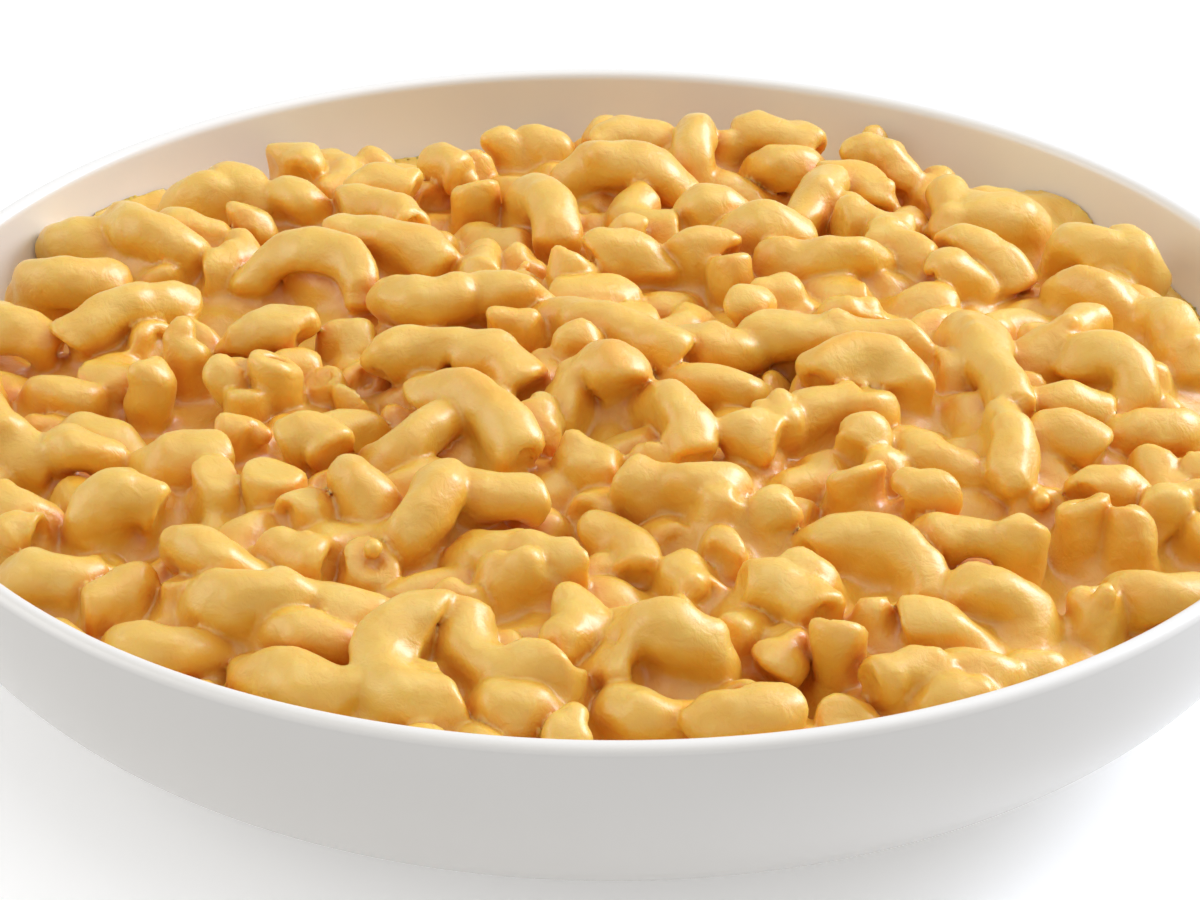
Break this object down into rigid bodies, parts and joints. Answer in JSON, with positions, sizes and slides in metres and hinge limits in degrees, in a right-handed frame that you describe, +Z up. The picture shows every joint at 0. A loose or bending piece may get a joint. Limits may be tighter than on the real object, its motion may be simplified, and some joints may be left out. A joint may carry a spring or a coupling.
{
  "type": "bowl of macaroni and cheese",
  "caption": "Shallow round glazed bowl filled with a low heap of elbow macaroni in a creamy cheese sauce.",
  "frame": {"origin": "on the table, under the bowl's axis", "axes": "+Z up along the bowl's axis; -Y is the side towards the viewer"},
  "size_m": [0.2238, 0.224, 0.0451],
  "materials": {
    "glaze": "satin",
    "cheese_sauce": "satin"
  },
  "bodies": {
    "root": {"bowl": "glaze", "macaroni_heap": "cheese_sauce"}
  },
  "joints": []
}
